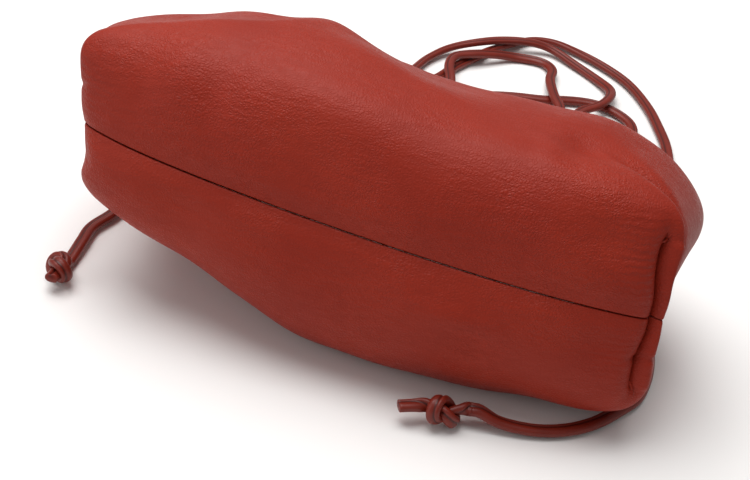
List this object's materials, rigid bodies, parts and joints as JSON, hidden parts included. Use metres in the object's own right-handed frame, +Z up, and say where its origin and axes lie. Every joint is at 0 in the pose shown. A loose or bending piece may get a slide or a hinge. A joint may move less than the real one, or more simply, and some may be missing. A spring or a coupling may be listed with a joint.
{
  "type": "cloud pouch bag",
  "caption": "Small soft leather pouch with a boxed bottom and a gathered mouth, lying on its back with its knotted strap laid behind it.",
  "frame": {"origin": "on the floor, under the middle of the bag without its strap", "axes": "+Z up from the floor, +X along the bottom seam towards the lower end, +Y from the bottom of the bag towards its mouth"},
  "size_m": [0.2332, 0.3192, 0.1007],
  "materials": {
    "pouch_leather": "fine grained, semi matt",
    "strap_leather": "smooth, semi matt",
    "frame_brass": "satin"
  },
  "bodies": {
    "root": {"front_panel": "pouch_leather", "back_panel": "pouch_leather", "mouth_frame": "frame_brass", "strap_loops": "strap_leather", "strap_left_end": "strap_leather", "strap_left_knot": "strap_leather", "strap_right_end": "strap_leather", "strap_right_knot": "strap_leather"}
  },
  "joints": []
}
